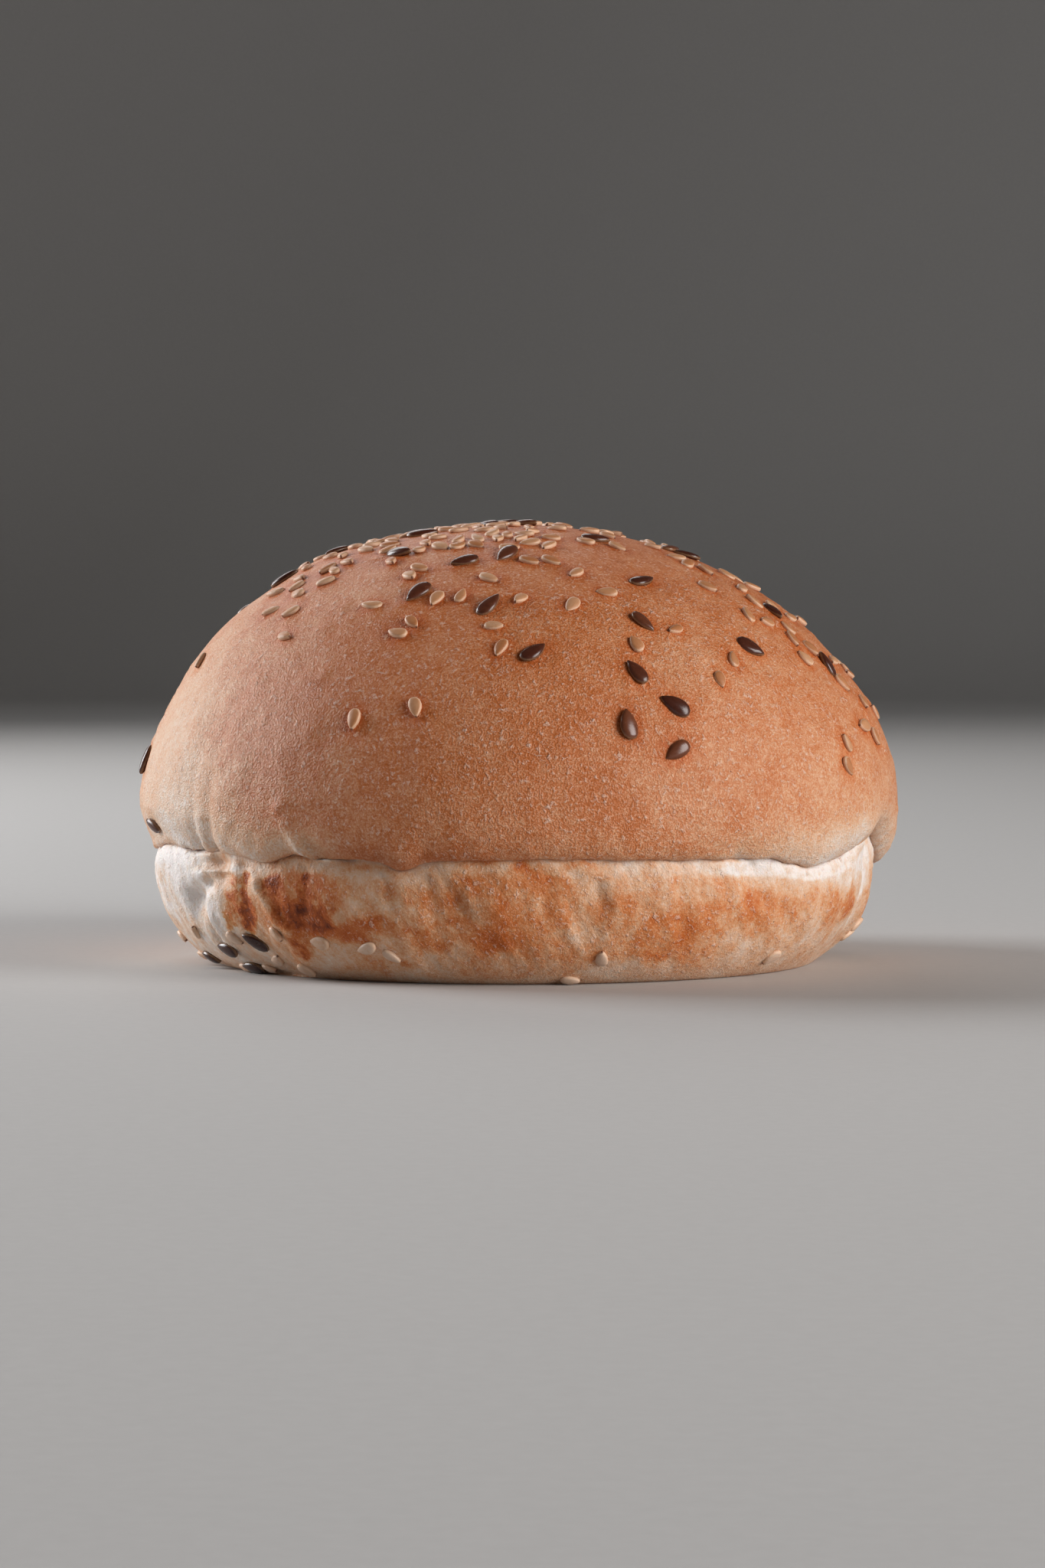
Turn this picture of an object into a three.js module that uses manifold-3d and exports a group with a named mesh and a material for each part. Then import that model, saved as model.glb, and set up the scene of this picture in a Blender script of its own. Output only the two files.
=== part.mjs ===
// A round seeded bread roll, baked in one piece: a smooth dome that overhangs a folded crease,
// a lower band that curves under to a flat base, and sesame and linseed baked on to the crust.
//
// Millimetres, +Z up. The origin is the centre of the base, on the surface the roll rests on.
// The front of the roll faces -Y. An azimuth is in degrees, 0 at the front and growing to +X.
import * as THREE from 'three';
import { mergeVertices } from 'three/addons/utils/BufferGeometryUtils.js';
import Module from 'manifold-3d';

// ---- sizes of the bread ----
const WIDTH = 105.4; // across the belly, side to side
const DEPTH = 104.2; // across the belly, front to back
const HEIGHT = 61; // base to crown, without seeds
const BELLY_Z = 22.4; // height of the widest ring of the dome
const LIP_R = 50.3; // radius of the lowest edge of the dome, where it overhangs the crease
const LIP_Z = 16.6; // height of that edge
const HEEL_R = 50.3; // widest radius of the band under the crease
const HEEL_Z = 14.0;
const FOOT_R = 41.5; // radius of the flat base
const HEEL_ROUNDING = 1.4; // above 1 the heel is flatter than a quarter of an ellipse
const DOME_ROUNDING = 1.03; // above 1 the dome is flatter than half an ellipse
const TUCK_MIN = 8; // degrees by which the lip curls in behind its own edge
const TUCK_MAX = 32;

// A level runs along the section: 0 centre of the base, 1 edge of the flat base, 2 heel,
// 3 bottom of the crease, 4 belly, 5 crown.
const FOOT_LEVEL = 1;
const HEEL_LEVEL = 2;
const CREASE_LEVEL = 3;
const BELLY_LEVEL = 4;
const CROWN_LEVEL = 5;

// Where the crease climbs and dips round the roll: azimuth, spread in degrees, height.
const CREASE_WAVES = [
  [-85, 8, -0.7], [-69, 7, 0.6], [-42, 4, -0.7], [-35, 3, 0.5], [-17, 2.4, -1.3], [5, 14, 0.3],
  [52, 8, -1.7], [75.5, 6.5, 2.5], [93, 9, -3.4], [116, 9, -0.9], [139, 6, 0.8], [163, 4, -1.3],
  [-166, 9, 0.7], [-141, 4, -1.2], [-116, 8, 0.6],
];

// Stretches where the dome folds deeply over the band: azimuth, spread in degrees.
const DEEP_FOLDS = [[-48, 12], [2, 26], [76, 12], [128, 20], [-160, 22], [-112, 14]];

// Soft swells, and dents where the height is below 0:
// azimuth, level, spread in degrees, spread in levels, height.
const SWELLS = [
  [80, 4.05, 38, 0.35, 0.6], [84, 3.7, 30, 0.25, 0.5], [89, 2.0, 14, 0.3, -0.4],
  [-85, 4.22, 32, 0.16, -0.8], [-88, 4.0, 13, 0.1, 0.3], [-80, 3.55, 26, 0.28, -0.8],
  [-80, 4.45, 45, 0.14, 0.6], [-80, 4.7, 45, 0.12, 2.6], [88, 4.35, 30, 0.1, -0.5],
  [75, 1.35, 30, 0.25, -0.8], [160, 4.15, 40, 0.3, 0.5], [-150, 4.45, 30, 0.2, -0.4],
  [-73, 2.15, 11, 0.5, 0.7], [-60.5, 1.8, 2.6, 0.12, -1.5], [-53, 2.25, 3.8, 0.22, -1.2],
  [-54, 1.72, 3.2, 0.2, 0.7], [-48, 1.2, 8, 0.3, -1.3], [-38.5, 1.5, 3, 0.45, 0.6],
  [-24, 1.6, 7, 0.4, 0.3], [-10, 1.85, 3, 0.35, -0.4], [11, 1.8, 3.4, 0.35, -0.35],
  [25, 1.6, 8, 0.5, 0.3], [39, 2.1, 3, 0.4, -0.5], [58, 1.9, 9, 0.5, 0.4],
  [69, 2.7, 2.4, 0.4, 0.9], [75.5, 2.3, 2.8, 0.5, -0.8], [104, 1.8, 9, 0.6, 0.5],
  [121, 1.9, 3.2, 0.4, -0.7], [146, 1.5, 8, 0.4, 0.4], [171, 1.9, 3.4, 0.5, -0.6],
  [-158, 1.6, 10, 0.5, 0.5], [-133, 2.0, 3.2, 0.45, -0.8], [-108, 1.7, 9, 0.5, 0.4],
  [-94, 2.0, 3.2, 0.3, -0.5],
];

// Pleats that run up from the crease, ridges where the depth is below 0:
// azimuth, lean in degrees for each level, spread in degrees, depth, reach in levels.
const PLEATS = [
  [-59, 3, 2.2, 0.9, 1.4], [-55.2, 3.8, 1.7, 1.2, 1.45], [-47.5, -9, 1.8, 0.5, 0.9],
  [-40, -12, 1.8, 0.45, 0.8], [-30.5, -5.2, 1.6, -0.7, 1.3], [-27.8, -5.2, 1.4, 0.6, 1.2],
  [-16.5, 0, 2.4, 0.5, 0.6], [23.2, 0, 2, 0.35, 0.7], [35.4, -1.5, 1.6, 0.5, 0.9],
  [56, 2, 2.2, 0.4, 0.8], [63, 8, 1.8, 1.1, 0.95], [69.5, 5, 1.6, -0.5, 0.8],
  [74.5, -3.5, 2, 1.2, 1.2], [98, -4, 2.4, 0.5, 0.8], [119, 5, 2.2, 0.9, 1.0],
  [126, 3, 1.8, 0.5, 0.7], [152, 0, 2.4, 0.4, 0.6], [177, -6, 2.2, 0.8, 1.0],
  [-149, 4, 2.2, 0.6, 0.8], [-141, -4, 1.8, 1.0, 1.0], [-121, 0, 2.4, 0.4, 0.7],
  [-98, 4, 2.2, 0.7, 0.9],
];

// How the relief and the climb of the crease die away, in levels.
const CLIMB_FADE_BELOW = 1.6; // from the edge of the base up
const CLIMB_FADE_START = 3.4; // level from which it fades upwards
const CLIMB_FADE_ABOVE = 1.1;
const PLEAT_FADE_BELOW = 0.5; // from the crease down
const RELIEF_FADE_FOOT = 0.15; // keeps the base flat
const RELIEF_FADE_CROWN = 0.3; // keeps the crown in one point

// ---- sizes of the seeds ----
// A taper is how much slimmer the tip's half is, and fatter the blunt half.
const SESAME = { length: 2.95, width: 1.7, thickness: 0.85, taper: 0.55 };
const LINSEED = { length: 4.4, width: 2.3, thickness: 1.15, taper: 0.6 };
const SEED_SIDES = 6;
const SEED_RINGS = 3;
const SEED_LIFT = 0.08; // share of its thickness by which a seed's middle stands off the crust

// Linseed on the front and the sides: azimuth, level, turn. A turn is where the tip points, in
// degrees: 0 down to the base, 90 to a growing azimuth.
const LINSEED_SPOTS = [
  [-40, 4.7, 80], [-15, 4.66, -55], [-3, 4.69, -30], [-22, 4.54, -25], [-5.5, 4.5, 145],
  [3, 4.37, 130], [32, 4.58, 100], [25, 4.45, 30], [20, 4.32, -155], [25, 4.24, -130],
  [17, 4.2, -175], [24, 4.14, -60], [46, 4.38, 40], [68.5, 4.33, -175], [67, 4.48, -25],
  [39, 4.78, 55], [-62, 4.82, 150], [-43, 4.93, 80], [26, 4.96, 20], [-81, 4.59, 160],
  [-81, 4.71, 30], [80, 4.72, 70], [79, 4.69, 200], [-83, 4.1, 10], [-73, 3.67, 70],
  [-47, 1.56, -130], [-57, 1.46, -105], [-69, 1.3, 70], [-55, 1.25, -95],
];

// Sesame that lies apart on the front and the heel, in the same order of numbers.
const SESAME_SPOTS = [
  [-25, 4.21, 0], [-15.5, 4.24, 15], [-2.5, 4.38, -25], [-4, 4.44, 85], [-20, 4.45, 45],
  [-22, 4.42, -100], [-31, 4.5, -80], [-17, 4.52, -15], [-12, 4.53, 165], [1, 4.52, -35],
  [11.5, 4.5, -35], [20.5, 4.54, -105], [15.5, 4.61, -50], [10.5, 4.66, 45], [4, 4.66, 60],
  [-6.5, 4.59, 60], [-26.5, 4.63, 80], [-27.5, 4.6, 45], [-38, 4.66, 45], [-28, 4.73, 65],
  [-15, 4.74, 60], [-8.5, 4.78, 5], [2, 4.78, -30], [41, 4.73, 20], [21.5, 4.39, -165],
  [31, 4.43, -70], [40, 4.35, 165], [35, 4.3, -5], [51.5, 4.56, 15], [54, 4.47, 170],
  [58.5, 4.45, -100], [63.5, 4.51, -160], [65, 4.43, -165], [62.5, 4.4, -20], [61, 4.35, -160],
  [74, 4.23, -45], [68, 4.18, -100], [71.5, 4.15, 5], [59.5, 4.15, -155], [58, 4.1, 30],
  [-59.5, 4.48, -35], [-52, 4.48, -25], [-52, 4.58, 130], [-59, 4.63, 0], [-66.5, 4.59, 90],
  [-47, 4.41, 80], [-74, 4.34, 30], [-40.5, 1.64, 50], [-45, 1.4, 135], [-38.5, 1.29, 35],
  [-32.5, 1.58, -95], [-24, 1.56, -70], [-20, 1.5, 55], [14, 1.48, -170], [48.5, 1.42, -40],
  [-65.5, 1.57, 145], [85.5, 1.59, 150], [84.5, 1.5, 155], [-52, 1.57, 50], [-51, 1.24, 85],
  [-57.5, 1.23, 95], [-76, 1.3, 70], [-80.5, 1.49, 60], [9.5, 1.22, 90],
];

// Where the rest of the seeds fell. A rise is in degrees, 0 at the belly and 90 at the crown:
// from and to azimuth, from and to rise, sesame, linseed.
const DOME_DRIFTS = [
  [-180, 180, 64, 88, 76, 1], [-92, -48, 48, 62, 10, 0], [60, 96, 18, 62, 16, 0],
  [96, 180, 24, 64, 30, 4], [-180, -92, 24, 64, 30, 6], [96, 268, 4, 24, 10, 3],
  [-95, 12, 63, 84, 24, 0],
];

// Seeds picked up by the heel, between two levels: from and to azimuth, sesame, linseed.
const HEEL_DRIFTS = [[102, 262, 14, 4]];
const HEEL_DRIFT_LEVELS = [1.3, 1.62];
const SEED_GAP = 2.3; // least distance between the middles of two seeds
const DRIFT_TRIES = 12;
const DRIFT_SEED = 20261;
const DRAW_FACTOR = 1664525; // a linear congruential draw, so the drifts are always the same
const DRAW_STEP = 1013904223;
const DRAW_RANGE = 2 ** 32;

// ---- fineness of the faceted solid ----
const SIDES = 96;
const ROWS = [[0, 1, 1], [1, 2, 5], [2, 3, 3], [3, 4, 5], [4, 5, 11]]; // from, to level, steps
const SOLID_SESAME_SHARE = 9; // the solid carries one in so many of the drifted sesame
const CRUST_COLOUR = 0xc89468;
const CRUST_ROUGHNESS = 0.62;
const MERGE_GAP = 1e-4; // corners nearer than this are one corner
const FRAME_STEP = 0.02; // half the step in level over which the crust's slope is taken

const radians = THREE.MathUtils.degToRad;
const smooth = (t) => THREE.MathUtils.smoothstep(t, 0, 1);
const bell = (offset, spread) => Math.exp(-((offset / spread) ** 2));

// The shorter way round from one azimuth to another.
function turnBetween(azimuth, centre) {
  return THREE.MathUtils.euclideanModulo(azimuth - centre + 180, 360) - 180;
}

// Degrees by which the lip curls in, deepest where the dome folds over the band.
function tuckAt(azimuth) {
  let fold = 0;
  for (const [centre, spread] of DEEP_FOLDS) {
    fold = Math.max(fold, bell(turnBetween(azimuth, centre), spread));
  }
  return TUCK_MIN + (TUCK_MAX - TUCK_MIN) * fold;
}

// The plain section of the roll: radius and height for a level, with the lip curled in by tuck.
function section(level, tuck) {
  const curl = radians(tuck);
  const lipWide = WIDTH / 2 - LIP_R;
  const lipTall = BELLY_Z - LIP_Z;
  const creaseR = LIP_R - lipWide * Math.sin(curl);
  const creaseZ = BELLY_Z - lipTall * Math.cos(curl);
  if (level <= FOOT_LEVEL) {
    return [FOOT_R * level, 0];
  }
  if (level <= HEEL_LEVEL) {
    const turn = radians(90 * (level - FOOT_LEVEL));
    const out = Math.sin(turn) ** HEEL_ROUNDING;
    return [FOOT_R + (HEEL_R - FOOT_R) * out, HEEL_Z * (1 - Math.cos(turn))];
  }
  if (level <= CREASE_LEVEL) {
    const turn = radians(90 * (level - HEEL_LEVEL));
    const up = (creaseZ - HEEL_Z) * Math.sin(turn);
    return [creaseR + (HEEL_R - creaseR) * Math.cos(turn), HEEL_Z + up];
  }
  if (level <= BELLY_LEVEL) {
    const turn = -curl + (Math.PI / 2 + curl) * (level - CREASE_LEVEL);
    return [LIP_R + lipWide * Math.sin(turn), BELLY_Z - lipTall * Math.cos(turn)];
  }
  const turn = radians(90 * (level - BELLY_LEVEL));
  const across = Math.max(0, Math.cos(turn)) ** DOME_ROUNDING;
  return [(WIDTH / 2) * across, BELLY_Z + (HEIGHT - BELLY_Z) * Math.sin(turn)];
}

// How far the crease has climbed at this azimuth, carried over on to the crust either side of it.
function creaseClimb(azimuth, level) {
  const below = smooth((level - FOOT_LEVEL) / CLIMB_FADE_BELOW);
  const above = 1 - smooth((level - CLIMB_FADE_START) / CLIMB_FADE_ABOVE);
  let climb = 0;
  for (const [centre, spread, height] of CREASE_WAVES) {
    climb += height * bell(turnBetween(azimuth, centre), spread);
  }
  return climb * Math.min(below, above);
}

// How far the crust stands out from the plain section.
function relief(azimuth, level) {
  let out = 0;
  for (const [centre, middle, wide, tall, height] of SWELLS) {
    out += height * bell(turnBetween(azimuth, centre), wide) * bell(level - middle, tall);
  }
  for (const [centre, lean, wide, depth, reach] of PLEATS) {
    const up = level - CREASE_LEVEL;
    const fade = smooth(1 - (up > 0 ? up / reach : -up / PLEAT_FADE_BELOW));
    out -= depth * fade * bell(turnBetween(azimuth, centre + lean * up), wide);
  }
  const fromFoot = smooth((level - FOOT_LEVEL) / RELIEF_FADE_FOOT);
  const fromCrown = smooth((CROWN_LEVEL - level) / RELIEF_FADE_CROWN);
  return out * fromFoot * fromCrown;
}

// A point on the crust.
function crustPoint(azimuth, level) {
  const [radius, height] = section(level, tuckAt(azimuth));
  const out = radius + relief(azimuth, level);
  const angle = radians(azimuth);
  const x = out * Math.sin(angle);
  const y = -out * Math.cos(angle) * (DEPTH / WIDTH);
  return new THREE.Vector3(x, y, height + creaseClimb(azimuth, level));
}

// A frame that lies on the crust: its middle, and a matrix with Z outwards and Y to the seed's tip.
function crustFrame(azimuth, level, turn) {
  const middle = crustPoint(azimuth, level);
  const right = crustPoint(azimuth + 1, level).sub(crustPoint(azimuth - 1, level)).normalize();
  const above = crustPoint(azimuth, level + FRAME_STEP);
  const down = crustPoint(azimuth, level - FRAME_STEP).sub(above).normalize();
  const outward = new THREE.Vector3().crossVectors(down, right).normalize();
  const tip = down.multiplyScalar(Math.cos(radians(turn)));
  tip.addScaledVector(right, Math.sin(radians(turn)));
  tip.addScaledVector(outward, -tip.dot(outward)).normalize();
  const side = new THREE.Vector3().crossVectors(tip, outward);
  return { middle, outward, turned: new THREE.Matrix4().makeBasis(side, tip, outward) };
}

// The bread itself: the section turned round the axis, then pushed out to the real crust.
function bread() {
  const levels = [0];
  for (const [from, to, steps] of ROWS) {
    for (let step = 1; step <= steps; step += 1) {
      levels.push(from + ((to - from) * step) / steps);
    }
  }
  const outline = levels.map((level) => new THREE.Vector2(...section(level, TUCK_MIN)));
  outline[0].x = 0;
  outline[outline.length - 1].x = 0;
  const geometry = new THREE.LatheGeometry(outline, SIDES);
  const position = geometry.getAttribute('position');
  for (let side = 0; side <= SIDES; side += 1) {
    for (let row = 0; row < levels.length; row += 1) {
      const point = crustPoint(((side % SIDES) * 360) / SIDES, levels[row]);
      position.setXYZ(side * levels.length + row, point.x, point.y, point.z);
    }
  }
  return geometry;
}

// One seed, a flat teardrop with its tip along +Y.
function seedGeometry({ length, width, thickness, taper }) {
  const geometry = new THREE.SphereGeometry(0.5, SEED_SIDES, SEED_RINGS);
  const position = geometry.getAttribute('position');
  for (let i = 0; i < position.count; i += 1) {
    const along = position.getY(i);
    const across = position.getX(i) * width * (1 - taper * along);
    position.setXYZ(i, across, along * length, position.getZ(i) * thickness);
  }
  return geometry;
}

// A repeatable draw between 0 and 1.
function makeDraw(start) {
  let state = start;
  return () => {
    state = (state * DRAW_FACTOR + DRAW_STEP) % DRAW_RANGE;
    return state / DRAW_RANGE;
  };
}

// Lays seeds within a drift, each clear of those that already lie there.
function scatter(draw, taken, count, spot) {
  const laid = [];
  for (let n = 0; n < count; n += 1) {
    for (let tries = 0; tries < DRIFT_TRIES; tries += 1) {
      const [azimuth, level] = spot();
      const turn = 360 * draw();
      const middle = crustPoint(azimuth, level);
      if (taken.every((other) => other.distanceTo(middle) > SEED_GAP)) {
        taken.push(middle);
        laid.push([azimuth, level, turn]);
        break;
      }
    }
  }
  return laid;
}

// Where every seed lies, as azimuth, level and turn.
function seedSpots() {
  const spots = { linseed: [...LINSEED_SPOTS], sesame: [...SESAME_SPOTS], drifted: [] };
  const apart = [...LINSEED_SPOTS, ...SESAME_SPOTS];
  const taken = apart.map(([azimuth, level]) => crustPoint(azimuth, level));
  const draw = makeDraw(DRIFT_SEED);
  const between = (from, to) => from + (to - from) * draw();
  for (const [from, to, low, high, sesame, linseed] of DOME_DRIFTS) {
    const spot = () => {
      const azimuth = between(from, to);
      const spread = between(Math.cos(radians(high)), Math.cos(radians(low)));
      return [azimuth, BELLY_LEVEL + Math.acos(spread) / (Math.PI / 2)];
    };
    spots.linseed.push(...scatter(draw, taken, linseed, spot));
    spots.drifted.push(...scatter(draw, taken, sesame, spot));
  }
  for (const [from, to, sesame, linseed] of HEEL_DRIFTS) {
    const spot = () => [between(from, to), between(...HEEL_DRIFT_LEVELS)];
    spots.linseed.push(...scatter(draw, taken, linseed, spot));
    spots.drifted.push(...scatter(draw, taken, sesame, spot));
  }
  return spots;
}

const wasm = await Module();
wasm.setup();

function toSolid(geometry) {
  const bare = geometry.clone();
  bare.deleteAttribute('normal');
  bare.deleteAttribute('uv');
  const merged = mergeVertices(bare, MERGE_GAP);
  const mesh = new wasm.Mesh({
    numProp: 3,
    vertProperties: new Float32Array(merged.getAttribute('position').array),
    triVerts: new Uint32Array(merged.index.array),
  });
  mesh.merge();
  return new wasm.Manifold(mesh);
}

function toGeometry(solid) {
  const mesh = solid.getMesh();
  const geometry = new THREE.BufferGeometry();
  geometry.setAttribute('position', new THREE.BufferAttribute(mesh.vertProperties, 3));
  geometry.setIndex(new THREE.BufferAttribute(mesh.triVerts, 1));
  geometry.computeVertexNormals();
  return geometry;
}

// Bakes seeds of one kind on to the bread.
function bakeOn(solid, kind, spots) {
  const seed = seedGeometry(kind);
  let baked = solid;
  for (const [azimuth, level, turn] of spots) {
    const { middle, outward, turned } = crustFrame(azimuth, level, turn);
    const place = turned.clone();
    place.setPosition(middle.addScaledVector(outward, SEED_LIFT * kind.thickness));
    baked = baked.add(toSolid(seed.clone().applyMatrix4(place)));
  }
  return baked;
}

const { linseed, sesame, drifted } = seedSpots();
const kept = drifted.filter((spot, n) => n % SOLID_SESAME_SHARE === 0);
let roll = toSolid(bread());
roll = bakeOn(roll, LINSEED, linseed);
roll = bakeOn(roll, SESAME, [...sesame, ...kept]);

const crust = new THREE.MeshStandardMaterial({
  color: CRUST_COLOUR,
  roughness: CRUST_ROUGHNESS,
  metalness: 0,
});
const rollMesh = new THREE.Mesh(toGeometry(roll), crust);
rollMesh.name = 'roll';

const part = new THREE.Group();
part.name = 'bread_roll';
part.add(rollMesh);
export default part;
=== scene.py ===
"""A round seeded bread roll: one baked crust, with sesame and linseed baked on to it."""
import math
import random

import bmesh
import bpy
import numpy as np
from mathutils import Matrix, Vector, noise


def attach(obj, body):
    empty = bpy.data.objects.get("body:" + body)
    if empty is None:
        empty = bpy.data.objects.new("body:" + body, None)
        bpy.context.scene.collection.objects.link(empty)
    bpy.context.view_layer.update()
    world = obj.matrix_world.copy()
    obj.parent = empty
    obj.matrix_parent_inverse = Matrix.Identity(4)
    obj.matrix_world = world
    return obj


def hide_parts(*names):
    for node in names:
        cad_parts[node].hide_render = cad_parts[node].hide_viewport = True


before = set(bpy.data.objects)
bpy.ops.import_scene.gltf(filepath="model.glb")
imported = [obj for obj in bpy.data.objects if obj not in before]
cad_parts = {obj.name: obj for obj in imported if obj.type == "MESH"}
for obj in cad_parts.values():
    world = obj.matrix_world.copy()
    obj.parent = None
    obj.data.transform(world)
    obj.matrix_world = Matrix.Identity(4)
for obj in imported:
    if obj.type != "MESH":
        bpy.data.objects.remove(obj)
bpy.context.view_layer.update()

# ---------------------------------------------------------------------------------------------
# The bread. A ball of enriched wheat dough, flattened, proved and baked on a tray in a close
# row: the dome springs up, folds over the band that the tray held back, and browns from the
# top down, while the band stays pale where its neighbours touched it.
# ---------------------------------------------------------------------------------------------
MM = 0.001

# Sizes in millimetres, the same as the solid's.
WIDTH = 105.4
DEPTH = 104.2
HEIGHT = 61.0
BELLY_Z = 22.4
LIP_R = 50.3
LIP_Z = 16.6
HEEL_R = 50.3
HEEL_Z = 14.0
FOOT_R = 41.5
HEEL_ROUNDING = 1.4
DOME_ROUNDING = 1.03
TUCK_MIN = 8
TUCK_MAX = 32

# A level runs along the section: 0 centre of the base, 1 edge of the flat base, 2 heel,
# 3 bottom of the crease, 4 belly, 5 crown. An azimuth is in degrees, 0 at the front.
FOOT_LEVEL, HEEL_LEVEL, CREASE_LEVEL, BELLY_LEVEL, CROWN_LEVEL = 1, 2, 3, 4, 5

# Where the crease climbs and dips: azimuth, spread in degrees, height.
CREASE_WAVES = [
    (-85, 8, -0.7), (-69, 7, 0.6), (-42, 4, -0.7), (-35, 3, 0.5), (-17, 2.4, -1.3), (5, 14, 0.3),
    (52, 8, -1.7), (75.5, 6.5, 2.5), (93, 9, -3.4), (116, 9, -0.9), (139, 6, 0.8), (163, 4, -1.3),
    (-166, 9, 0.7), (-141, 4, -1.2), (-116, 8, 0.6),
]

# Stretches where the dome folds deeply over the band: azimuth, spread in degrees.
DEEP_FOLDS = [(-48, 12), (2, 26), (76, 12), (128, 20), (-160, 22), (-112, 14)]

# Soft swells, and dents where the height is below 0:
# azimuth, level, spread in degrees, spread in levels, height.
SWELLS = [
    (80, 4.05, 38, 0.35, 0.6), (84, 3.7, 30, 0.25, 0.5), (89, 2.0, 14, 0.3, -0.4),
    (-85, 4.22, 32, 0.16, -0.8), (-88, 4.0, 13, 0.1, 0.3), (-80, 3.55, 26, 0.28, -0.8),
    (-80, 4.45, 45, 0.14, 0.6), (-80, 4.7, 45, 0.12, 2.6), (88, 4.35, 30, 0.1, -0.5),
    (75, 1.35, 30, 0.25, -0.8), (160, 4.15, 40, 0.3, 0.5), (-150, 4.45, 30, 0.2, -0.4),
    (-73, 2.15, 11, 0.5, 0.7), (-60.5, 1.8, 2.6, 0.12, -1.5), (-53, 2.25, 3.8, 0.22, -1.2),
    (-54, 1.72, 3.2, 0.2, 0.7), (-48, 1.2, 8, 0.3, -1.3), (-38.5, 1.5, 3, 0.45, 0.6),
    (-24, 1.6, 7, 0.4, 0.3), (-10, 1.85, 3, 0.35, -0.4), (11, 1.8, 3.4, 0.35, -0.35),
    (25, 1.6, 8, 0.5, 0.3), (39, 2.1, 3, 0.4, -0.5), (58, 1.9, 9, 0.5, 0.4),
    (69, 2.7, 2.4, 0.4, 0.9), (75.5, 2.3, 2.8, 0.5, -0.8), (104, 1.8, 9, 0.6, 0.5),
    (121, 1.9, 3.2, 0.4, -0.7), (146, 1.5, 8, 0.4, 0.4), (171, 1.9, 3.4, 0.5, -0.6),
    (-158, 1.6, 10, 0.5, 0.5), (-133, 2.0, 3.2, 0.45, -0.8), (-108, 1.7, 9, 0.5, 0.4),
    (-94, 2.0, 3.2, 0.3, -0.5),
]

# Pleats that run up from the crease, ridges where the depth is below 0:
# azimuth, lean in degrees for each level, spread in degrees, depth, reach in levels.
PLEATS = [
    (-59, 3, 2.2, 0.9, 1.4), (-55.2, 3.8, 1.7, 1.2, 1.45), (-47.5, -9, 1.8, 0.5, 0.9),
    (-40, -12, 1.8, 0.45, 0.8), (-30.5, -5.2, 1.6, -0.7, 1.3), (-27.8, -5.2, 1.4, 0.6, 1.2),
    (-16.5, 0, 2.4, 0.5, 0.6), (23.2, 0, 2, 0.35, 0.7), (35.4, -1.5, 1.6, 0.5, 0.9),
    (56, 2, 2.2, 0.4, 0.8), (63, 8, 1.8, 1.1, 0.95), (69.5, 5, 1.6, -0.5, 0.8),
    (74.5, -3.5, 2, 1.2, 1.2), (98, -4, 2.4, 0.5, 0.8), (119, 5, 2.2, 0.9, 1.0),
    (126, 3, 1.8, 0.5, 0.7), (152, 0, 2.4, 0.4, 0.6), (177, -6, 2.2, 0.8, 1.0),
    (-149, 4, 2.2, 0.6, 0.8), (-141, -4, 1.8, 1.0, 1.0), (-121, 0, 2.4, 0.4, 0.7),
    (-98, 4, 2.2, 0.7, 0.9),
]

# How the relief and the climb of the crease die away, in levels.
CLIMB_FADE_BELOW = 1.6
CLIMB_FADE_START = 3.4
CLIMB_FADE_ABOVE = 1.1
PLEAT_FADE_BELOW = 0.5
RELIEF_FADE_FOOT = 0.15
RELIEF_FADE_CROWN = 0.3


def smooth(t):
    t = np.clip(t, 0.0, 1.0)
    return t * t * (3 - 2 * t)


def bell(offset, spread):
    return np.exp(-((offset / spread) ** 2))


def turn_between(azimuth, centre):
    return (azimuth - centre + 180) % 360 - 180


def tuck_at(azimuth):
    """Degrees by which the lip curls in, deepest where the dome folds over the band."""
    fold = np.zeros_like(azimuth)
    for centre, spread in DEEP_FOLDS:
        fold = np.maximum(fold, bell(turn_between(azimuth, centre), spread))
    return TUCK_MIN + (TUCK_MAX - TUCK_MIN) * fold


def section(level, tuck):
    """The plain section of the roll: radius and height, with the lip curled in by tuck."""
    curl = np.radians(tuck)
    lip_wide = WIDTH / 2 - LIP_R
    lip_tall = BELLY_Z - LIP_Z
    crease_r = LIP_R - lip_wide * np.sin(curl)
    crease_z = BELLY_Z - lip_tall * np.cos(curl)
    heel = np.radians(90 * np.clip(level - FOOT_LEVEL, 0, 1))
    shoulder = np.radians(90 * np.clip(level - HEEL_LEVEL, 0, 1))
    lip = -curl + (math.pi / 2 + curl) * np.clip(level - CREASE_LEVEL, 0, 1)
    dome = np.radians(90 * np.clip(level - BELLY_LEVEL, 0, 1))
    parts = [level <= FOOT_LEVEL, level <= HEEL_LEVEL, level <= CREASE_LEVEL, level <= BELLY_LEVEL]
    radius = np.select(parts, [
        FOOT_R * level,
        FOOT_R + (HEEL_R - FOOT_R) * np.sin(heel) ** HEEL_ROUNDING,
        crease_r + (HEEL_R - crease_r) * np.cos(shoulder),
        LIP_R + lip_wide * np.sin(lip),
    ], WIDTH / 2 * np.maximum(0, np.cos(dome)) ** DOME_ROUNDING)
    height = np.select(parts, [
        0 * level,
        HEEL_Z * (1 - np.cos(heel)),
        HEEL_Z + (crease_z - HEEL_Z) * np.sin(shoulder),
        BELLY_Z - lip_tall * np.cos(lip),
    ], BELLY_Z + (HEIGHT - BELLY_Z) * np.sin(dome))
    return radius, height


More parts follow.
